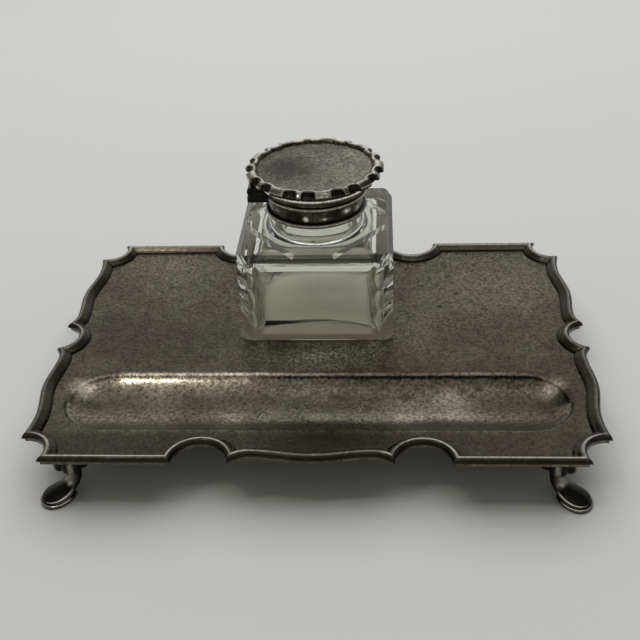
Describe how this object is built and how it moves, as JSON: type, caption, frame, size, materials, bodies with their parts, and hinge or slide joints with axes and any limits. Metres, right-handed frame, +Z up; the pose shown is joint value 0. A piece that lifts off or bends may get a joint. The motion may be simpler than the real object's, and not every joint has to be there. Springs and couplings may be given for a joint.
{
  "type": "desk inkstand",
  "caption": "Shaped rectangular tray with raised border, pen trough and splayed cast feet, carrying a loose square cut-glass inkwell with a collar and a hinged scalloped lid.",
  "frame": {"origin": "on the table, below the middle of the tray's outline", "axes": "+X along the tray's length to the right, +Y to the back (the pen trough is at -Y), +Z up"},
  "size_m": [0.1814, 0.1344, 0.0706],
  "materials": {
    "dark_silver": "tarnished silver, satin with fine dark speckle",
    "border_silver": "tarnished silver, worn brighter along its edges",
    "worn_silver": "silver, rubbed bright on high parts, black in the recesses",
    "lid_silver": "satin grey silver with dark specks",
    "cut_glass": "clear, polished",
    "plaster": "matt off-white"
  },
  "bodies": {
    "tray": {"tray_plate": "dark_silver", "tray_border": "border_silver", "foot_front_left": "dark_silver", "foot_front_right": "dark_silver", "foot_back_left": "dark_silver", "foot_back_right": "dark_silver"},
    "inkwell": {"glass_well": "cut_glass", "neck_cement": "plaster", "collar_foot_wire": "worn_silver", "collar_band": "dark_silver", "collar_rim_wire": "worn_silver", "collar_hinge": "dark_silver", "hinge_pin": "worn_silver"},
    "lid": {"lid_plate": "lid_silver", "lid_border": "worn_silver", "lid_wall": "dark_silver", "lid_guide": "dark_silver", "lid_hinge": "dark_silver"}
  },
  "joints": [
    {"name": "inkwell_lift", "type": "slide", "parent": "tray", "child": "inkwell", "axis": [0, 0, 1], "range_m": [0, 0.06]},
    {"name": "lid_hinge", "type": "hinge", "parent": "inkwell", "child": "lid", "pos_m": [-0.0225, 0.0252, 0.0628], "axis": [0, -1, 0], "range_deg": [0, 100]}
  ]
}
